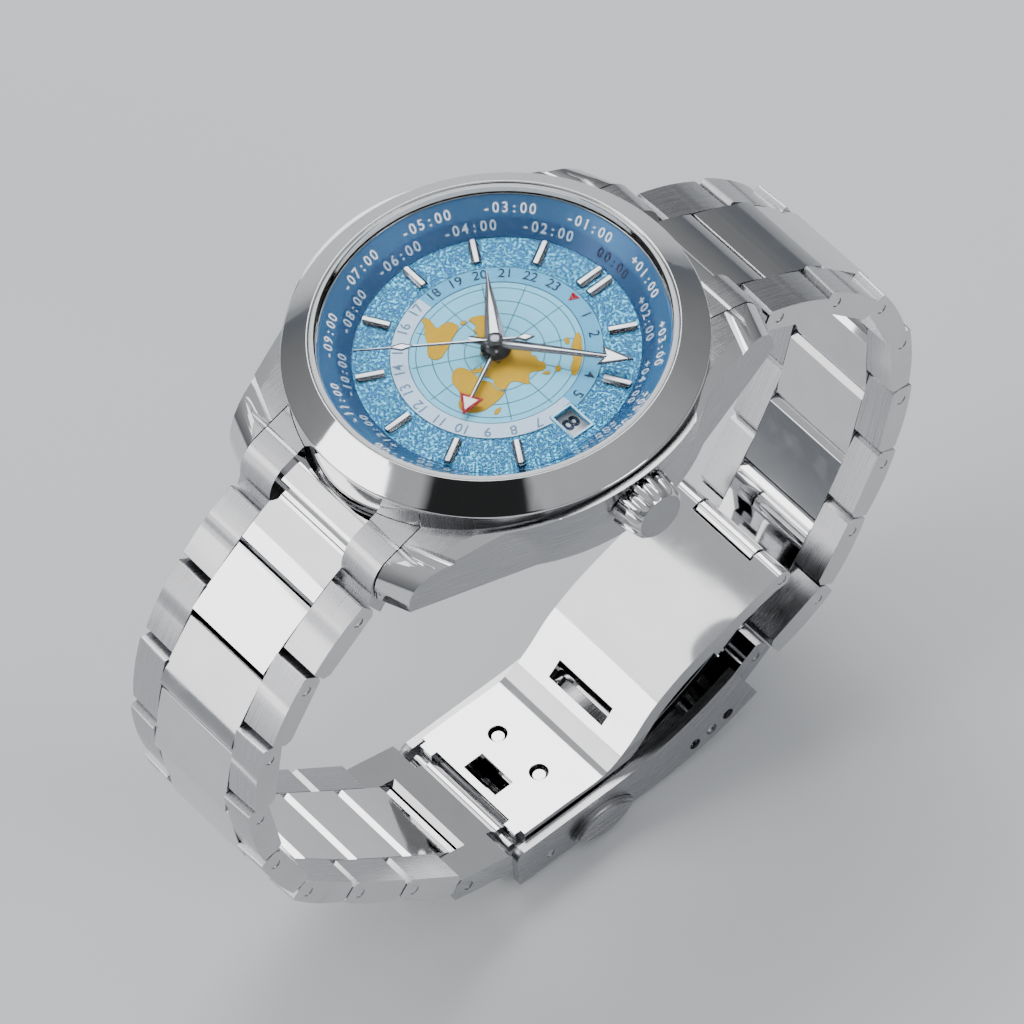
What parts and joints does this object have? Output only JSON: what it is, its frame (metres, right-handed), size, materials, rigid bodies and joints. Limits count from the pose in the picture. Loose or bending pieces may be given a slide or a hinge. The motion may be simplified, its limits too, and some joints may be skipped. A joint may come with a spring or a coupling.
{
  "type": "wristwatch",
  "caption": "Steel wristwatch with a world map dial, a second time zone hand, a world time flange and a link bracelet closed by a folding clasp.",
  "frame": {"origin": "centre of the case back's outer face", "axes": "+Z leaves the dial towards the viewer, +Y points to 12 o'clock, +X points to the crown at 3 o'clock"},
  "size_m": [0.0453, 0.0849, 0.0739],
  "materials": {
    "brushed_steel": "brushed",
    "polished_steel": "polished",
    "crystal_glass": "clear",
    "gasket_white": "matte",
    "gasket_black": "matte",
    "flange_blue": "satin",
    "dial_blue": "grained",
    "movement_brass": "satin",
    "spacer_grey": "matte",
    "date_white": "satin",
    "hand_white": "gloss"
  },
  "bodies": {
    "case": {"case_middle": "brushed_steel", "bezel": "polished_steel", "crystal": "crystal_glass", "crystal_gasket": "gasket_white", "flange_ring": "flange_blue", "dial": "dial_blue", "hour_batons": "polished_steel", "date_frame": "dial_blue", "main_plate": "movement_brass", "train_bridge": "brushed_steel", "movement_ring": "spacer_grey", "rotor_bearing": "movement_brass", "case_back": "brushed_steel", "back_gasket": "gasket_black", "crown_tube": "polished_steel", "end_link_12": "brushed_steel", "end_link_6": "brushed_steel", "lug_spring_bars": "polished_steel"},
    "rotor": {"rotor": "brushed_steel"},
    "date_ring": {"date_ring": "date_white"},
    "hour_hand": {"hour_hand": "polished_steel", "hour_wheel": "movement_brass"},
    "minute_hand": {"minute_hand": "polished_steel", "cannon_pinion": "polished_steel"},
    "seconds_hand": {"seconds_hand": "polished_steel", "seconds_arbor": "polished_steel"},
    "gmt_hand": {"gmt_hand": "hand_white", "gmt_wheel": "movement_brass"},
    "crown_seal": {"crown_gasket": "gasket_black"},
    "crown": {"crown": "polished_steel", "stem": "polished_steel"},
    "link_12_1": {"link_12_1": "brushed_steel"},
    "link_12_2": {"link_12_2": "brushed_steel"},
    "link_12_3": {"link_12_3": "brushed_steel"},
    "link_12_4": {"link_12_4": "brushed_steel"},
    "link_12_5": {"link_12_5": "brushed_steel"},
    "link_12_6": {"link_12_6": "brushed_steel"},
    "link_12_7": {"link_12_7": "brushed_steel"},
    "link_12_8": {"link_12_8": "brushed_steel"},
    "link_6_1": {"link_6_1": "brushed_steel"},
    "link_6_2": {"link_6_2": "brushed_steel"},
    "link_6_3": {"link_6_3": "brushed_steel"},
    "link_6_4": {"link_6_4": "brushed_steel"},
    "link_6_5": {"link_6_5": "brushed_steel"},
    "link_6_6": {"link_6_6": "brushed_steel"},
    "link_6_7": {"link_6_7": "brushed_steel"},
    "link_6_8": {"link_6_8": "brushed_steel"},
    "entry_link": {"entry_link": "brushed_steel", "clasp_spring_bar": "polished_steel"},
    "clasp_cover": {"clasp_cover": "brushed_steel", "cover_hinge_pin": "polished_steel", "latch_block": "polished_steel"},
    "button_right": {"button_right": "brushed_steel"},
    "button_left": {"button_left": "brushed_steel"},
    "outer_arm": {"outer_arm": "polished_steel", "arm_hinge_pin": "polished_steel"},
    "inner_arm": {"inner_arm": "polished_steel"},
    "exit_link": {"exit_link": "brushed_steel", "exit_pin": "polished_steel"}
  },
  "joints": [
    {"name": "link_12_1_hinge", "type": "hinge", "parent": "case", "child": "link_12_1", "pos_m": [0, 0.0264, -0.0004], "axis": [1, 0, 0], "range_deg": [0, 7]},
    {"name": "link_12_2_hinge", "type": "hinge", "parent": "link_12_1", "child": "link_12_2", "pos_m": [0, 0.03364, -0.00475], "axis": [1, 0, 0], "range_deg": [0, 24]},
    {"name": "link_12_3_hinge", "type": "hinge", "parent": "link_12_2", "child": "link_12_3", "pos_m": [0, 0.03919, -0.01113], "axis": [1, 0, 0], "range_deg": [0, 31]},
    {"name": "link_12_4_hinge", "type": "hinge", "parent": "link_12_3", "child": "link_12_4", "pos_m": [0, 0.04152, -0.01925], "axis": [1, 0, 0], "range_deg": [0, 27]},
    {"name": "link_12_5_hinge", "type": "hinge", "parent": "link_12_4", "child": "link_12_5", "pos_m": [0, 0.04078, -0.02767], "axis": [1, 0, 0], "range_deg": [0, 21]},
    {"name": "link_12_6_hinge", "type": "hinge", "parent": "link_12_5", "child": "link_12_6", "pos_m": [0, 0.03789, -0.03561], "axis": [1, 0, 0], "range_deg": [0, 19]},
    {"name": "link_12_7_hinge", "type": "hinge", "parent": "link_12_6", "child": "link_12_7", "pos_m": [0, 0.03329, -0.0427], "axis": [1, 0, 0], "range_deg": [0, 10]},
    {"name": "link_12_8_hinge", "type": "hinge", "parent": "link_12_7", "child": "link_12_8", "pos_m": [0, 0.0282, -0.04945], "axis": [1, 0, 0], "range_deg": [0, 34]},
    {"name": "entry_link_hinge", "type": "hinge", "parent": "link_12_8", "child": "entry_link", "pos_m": [0, 0.02054, -0.05302], "axis": [1, 0, 0], "range_deg": [0, 6]},
    {"name": "cover_hinge", "type": "hinge", "parent": "entry_link", "child": "clasp_cover", "pos_m": [0, 0.01342, -0.05747], "axis": [1, 0, 0], "range_deg": [0, 6]},
    {"name": "outer_arm_hinge", "type": "hinge", "parent": "clasp_cover", "child": "outer_arm", "pos_m": [0, -0.00778, -0.05828], "axis": [1, 0, 0], "range_deg": [0, 42.5]},
    {"name": "inner_arm_hinge", "type": "hinge", "parent": "outer_arm", "child": "inner_arm", "pos_m": [0, 0.02487, -0.04409], "axis": [-1, 0, 0], "range_deg": [0, 85]},
    {"name": "button_right_press", "type": "slide", "parent": "clasp_cover", "child": "button_right", "axis": [-1, 0, 0], "range_m": [0, 0.0004], "stiffness_N_per_m": 500, "springref_m": -0.0004},
    {"name": "button_left_press", "type": "slide", "parent": "clasp_cover", "child": "button_left", "axis": [1, 0, 0], "range_m": [0, 0.0004], "stiffness_N_per_m": 500, "springref_m": -0.0004},
    {"name": "link_6_1_hinge", "type": "hinge", "parent": "case", "child": "link_6_1", "pos_m": [0, -0.0264, -0.0004], "axis": [-1, 0, 0], "range_deg": [0, 12]},
    {"name": "link_6_2_hinge", "type": "hinge", "parent": "link_6_1", "child": "link_6_2", "pos_m": [0, -0.03324, -0.00537], "axis": [-1, 0, 0], "range_deg": [0, 23]},
    {"name": "link_6_3_hinge", "type": "hinge", "parent": "link_6_2", "child": "link_6_3", "pos_m": [0, -0.03832, -0.01212], "axis": [-1, 0, 0], "range_deg": [0, 28.9]},
    {"name": "link_6_4_hinge", "type": "hinge", "parent": "link_6_3", "child": "link_6_4", "pos_m": [0, -0.04038, -0.02031], "axis": [-1, 0, 0], "range_deg": [0, 26]},
    {"name": "link_6_5_hinge", "type": "hinge", "parent": "link_6_4", "child": "link_6_5", "pos_m": [0, -0.03951, -0.02872], "axis": [-1, 0, 0], "range_deg": [0, 22]},
    {"name": "link_6_6_hinge", "type": "hinge", "parent": "link_6_5", "child": "link_6_6", "pos_m": [0, -0.03636, -0.03656], "axis": [-1, 0, 0], "range_deg": [0, 27.8]},
    {"name": "link_6_7_hinge", "type": "hinge", "parent": "link_6_6", "child": "link_6_7", "pos_m": [0, -0.03053, -0.04267], "axis": [-1, 0, 0], "range_deg": [0, 10]},
    {"name": "link_6_8_hinge", "type": "hinge", "parent": "link_6_7", "child": "link_6_8", "pos_m": [0, -0.02428, -0.04836], "axis": [-1, 0, 0], "range_deg": [0, 7]},
    {"name": "exit_link_hinge", "type": "hinge", "parent": "link_6_8", "child": "exit_link", "pos_m": [0, -0.01793, -0.05394], "axis": [-1, 0, 0], "range_deg": [0, 32]},
    {"name": "crown_pull", "type": "slide", "parent": "case", "child": "crown_seal", "axis": [1, 0, 0], "range_m": [0, 0.0011]},
    {"name": "crown_turn", "type": "hinge", "parent": "crown_seal", "child": "crown", "pos_m": [0.0208, 0, 0.0058], "axis": [1, 0, 0], "continuous": true},
    {"name": "minute_hand_turn", "type": "hinge", "parent": "case", "child": "minute_hand", "pos_m": [0, 0, 0.0099], "axis": [0, 0, -1], "continuous": true},
    {"name": "hour_hand_turn", "type": "hinge", "parent": "case", "child": "hour_hand", "pos_m": [0, 0, 0.0095], "axis": [0, 0, -1], "continuous": true},
    {"name": "gmt_hand_turn", "type": "hinge", "parent": "case", "child": "gmt_hand", "pos_m": [0, 0, 0.0091], "axis": [0, 0, -1], "continuous": true},
    {"name": "date_ring_turn", "type": "hinge", "parent": "case", "child": "date_ring", "pos_m": [0, 0, 0.007], "axis": [0, 0, -1], "continuous": true},
    {"name": "seconds_hand_turn", "type": "hinge", "parent": "case", "child": "seconds_hand", "pos_m": [0, 0, 0.0103], "axis": [0, 0, -1], "continuous": true},
    {"name": "rotor_turn", "type": "hinge", "parent": "case", "child": "rotor", "pos_m": [0, 0, 0.002], "axis": [0, 0, 1], "continuous": true}
  ],
  "couplings": [
    {"joint": "hour_hand_turn", "follows": "minute_hand_turn", "ratio": 0.083333},
    {"joint": "gmt_hand_turn", "follows": "minute_hand_turn", "ratio": 0.041667},
    {"joint": "date_ring_turn", "follows": "minute_hand_turn", "ratio": 0.0013441},
    {"joint": "inner_arm_hinge", "follows": "outer_arm_hinge", "ratio": 2}
  ]
}
